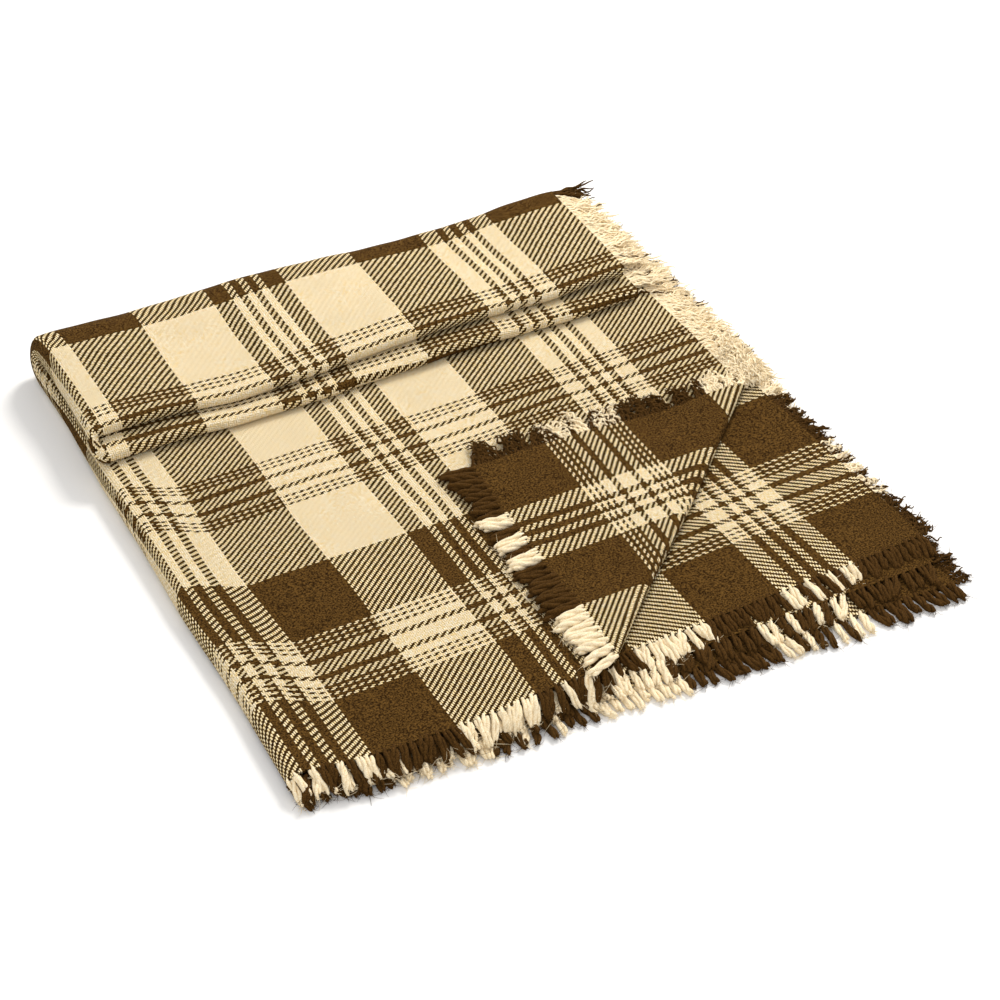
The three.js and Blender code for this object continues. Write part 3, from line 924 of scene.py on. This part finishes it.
def side_a(st):
    fine_row(st, 1.0, (0.0, 1.0), R(31), 14.0, ylim=lambda p: p[:, 1] > crease_y - 2, pale=-640)
    near = lambda p: (p[:, 1] > crease_y - 4) & (p[:, 1] < crease_y + 62)
    fine_row(st, 1.0, (0.0, 1.0), R(51), 22.0, ylim=near, pitch=1.1, curl=3.0, long=1.1, pale=-700)
    fine_row(st, 1.0, (0.0, 1.0), R(52), 27.0, ylim=near, pitch=1.2, curl=3.4, long=0.9, pale=-700)


fringe("fringe_side_a", "stack", ["side_fringe_a"], side_a)
fringe("fringe_flap", "flap", ["flap_side_fringe"],
       lambda st: fine_row(st, 1.0, (0.0, 1.0), R(32), 27.0, flap=True, ylim=lambda p: p[:, 1] < crease_y - 12, pitch=0.9, curl=1.9, long=1.12))
fringe("fringe_side_b", "stack", ["side_fringe_b"],
       lambda st: fine_row(st, 1.0, (6.0, 7.0), R(33), 9.0, curl=1.3, pale=-640))
fringe("fringe_side_c", "stack", ["side_fringe_c"],
       lambda st: fine_row(st, -2.0, (6.0, 7.0), R(34), 5.0, curl=1.3, pale=-640))
fringe("fringe_side_d", "stack", ["side_fringe_d"],
       lambda st: fine_row(st, -2.0, (0.0, 1.0), R(35), 1.8, curl=1.3))
fringe("fringe_leaf_a", "leaf", ["leaf_side_fringe_a"],
       lambda st: fine_row(st, 1.0, (2.0, 2.97), R(36), 24.0))
fringe("fringe_leaf_b", "leaf", ["leaf_side_fringe_b"],
       lambda st: fine_row(st, 1.0, (4.03, 5.0), R(37), 27.0, pale=-700))
fringe("fringe_leaf_c", "leaf", ["leaf_side_fringe_c"],
       lambda st: fine_row(st, -2.0, (4.03, 5.0), R(38), 31.0, pale=-700))
fringe("fringe_leaf_d", "leaf", ["leaf_side_fringe_d"],
       lambda st: fine_row(st, -2.0, (2.0, 2.97), R(39), 35.0, pale=-700))
fringe("fringe_bend", "stack", ["back_fold_fringe"],
       lambda st: fine_row(st, -2.0, (1.0, 2.0), R(40), lambda p: p[:, 2] * 0.85),
       blend_to=("stack", "leaf", tuple(row([[300, YB, ZH - 21.4]])[0]), tuple(row([[300, YB, ZH + 21.4]])[0])))


# ------------------------------------------------------------- floor, light and camera
def floor():
    mesh = bpy.data.meshes.new("floor")
    s = 12.0
    mesh.from_pydata([(-s, -s, 0), (s, -s, 0), (s, s, 0), (-s, s, 0)], [], [(0, 1, 2, 3)])
    o = bpy.data.objects.new("floor", mesh)
    bpy.context.scene.collection.objects.link(o)
    mat = bpy.data.materials.new("floor_white")
    mat.use_nodes = True
    b = mat.node_tree.nodes["Principled BSDF"]
    b.inputs["Base Color"].default_value = (0.86, 0.855, 0.85, 1)
    b.inputs["Roughness"].default_value = 0.9
    b.inputs["Specular IOR Level"].default_value = 0.1
    mesh.materials.append(mat)


floor()

world = bpy.data.worlds.new("studio")
bpy.context.scene.world = world
world.use_nodes = True
bg = world.node_tree.nodes["Background"]
bg.inputs["Color"].default_value = (1.0, 0.995, 0.985, 1)
bg.inputs["Strength"].default_value = 0.78


def area_light(name, where, at, size, watts, color):
    data = bpy.data.lights.new(name, "AREA")
    data.shape = "DISK"
    data.size = size
    data.energy = watts
    data.color = color
    o = bpy.data.objects.new(name, data)
    bpy.context.scene.collection.objects.link(o)
    o.location = where
    o.rotation_mode = "QUATERNION"
    o.rotation_quaternion = (Vector(at) - Vector(where)).to_track_quat("-Z", "Y")


area_light("key", (1.9, 1.5, 2.3), (0, 0, 0), 1.1, 100, (1.0, 0.97, 0.92))
area_light("fill", (-1.2, -2.4, 2.6), (0, 0, 0), 2.2, 30, (1.0, 0.98, 0.96))

cam_data = bpy.data.cameras.new("camera")
cam = bpy.data.objects.new("camera", cam_data)
bpy.context.scene.collection.objects.link(cam)
bpy.context.scene.camera = cam
az, el, roll_ = math.radians(-26.6736), math.radians(37.7092), math.radians(-1.5097)
fwd = Vector((math.sin(-az) * math.cos(el), math.cos(az) * math.cos(el), -math.sin(el)))
right = fwd.cross(Vector((0, 0, 1))).normalized()
upv = right.cross(fwd)
r2 = right * math.cos(roll_) + upv * math.sin(roll_)
u2 = -right * math.sin(roll_) + upv * math.cos(roll_)
target = Vector(tuple(row([[301.76, -675.67, 23.6]])[0]))
where = target - fwd * 2.8981
m = Matrix((r2, u2, -fwd)).transposed().to_4x4()
m.translation = where
cam.matrix_world = m
cam_data.lens = 36 * 3.11074
cam_data.sensor_width = 36
cam_data.clip_start = 0.05
cam_data.clip_end = 60
cam_data.dof.use_dof = False

bpy.context.scene.view_settings.view_transform = "Standard"
bpy.context.scene.view_settings.look = "None"
bpy.context.scene.view_settings.exposure = 0.0
